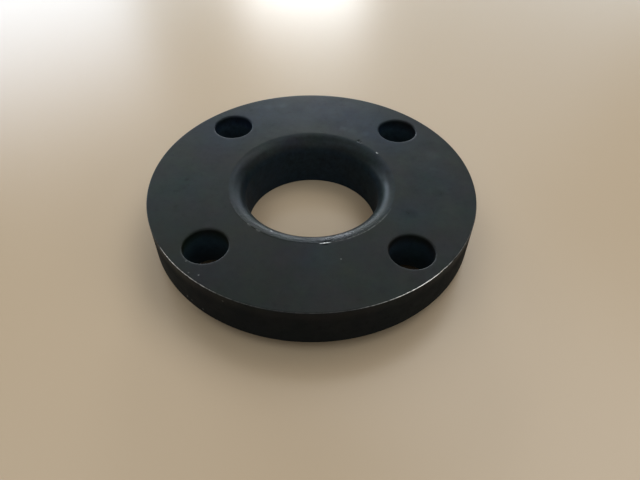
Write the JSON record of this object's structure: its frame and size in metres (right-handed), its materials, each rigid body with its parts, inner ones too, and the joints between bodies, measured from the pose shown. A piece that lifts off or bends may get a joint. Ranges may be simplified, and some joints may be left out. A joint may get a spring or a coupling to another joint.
{
  "type": "lap joint flange",
  "caption": "Round steel pipe flange with a rounded bore corner on its flat face, a short hub behind and a ring of bolt holes; slides loose over a lapped stub end.",
  "frame": {"origin": "on the bore axis, in the end face of the hub, on which the flange rests", "axes": "+Z along the bore, from the hub towards the flat face that bears on the stub end's lap; the bolt holes straddle the X and Y centre lines"},
  "size_m": [0.151, 0.151, 0.0255],
  "materials": {
    "black_coating": "satin black rust-proof coating over turned forged steel, clouded on the face and worn to bright steel along the rim edge"
  },
  "bodies": {
    "root": {"flange": "black_coating"}
  },
  "joints": []
}
